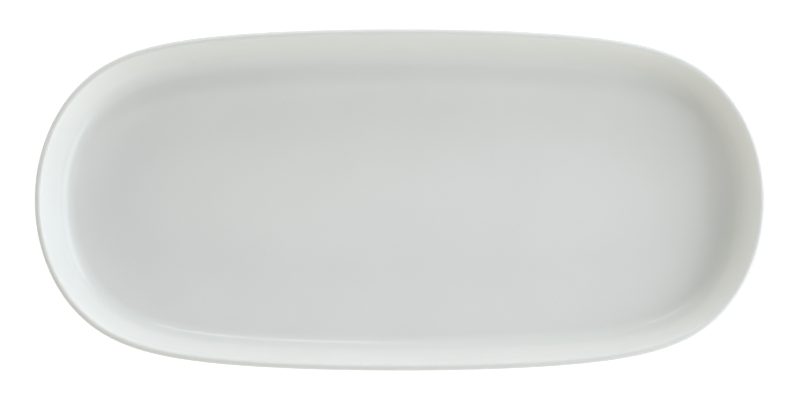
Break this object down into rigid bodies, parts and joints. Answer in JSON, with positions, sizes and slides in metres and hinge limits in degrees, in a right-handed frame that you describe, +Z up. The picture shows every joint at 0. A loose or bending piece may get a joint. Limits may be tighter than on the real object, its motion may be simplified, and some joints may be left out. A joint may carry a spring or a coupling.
{
  "type": "serving platter",
  "caption": "Long oblong white glazed ceramic serving platter with a flat floor, soft cove, low outward-leaning wall, thin round lip and a bare clay foot ring.",
  "frame": {"origin": "on the table, under the middle of the platter, in the plane of the foot ring's sole", "axes": "+X along the length, +Y across the width, +Z up out of the well"},
  "size_m": [0.33, 0.1544, 0.028],
  "materials": {
    "bare_clay": "fired and unglazed, fine-grained, matte",
    "white_glaze": "smooth glossy white glaze"
  },
  "bodies": {
    "root": {"clay_body": "bare_clay", "glaze_coat": "white_glaze", "base_glaze": "white_glaze"}
  },
  "joints": []
}
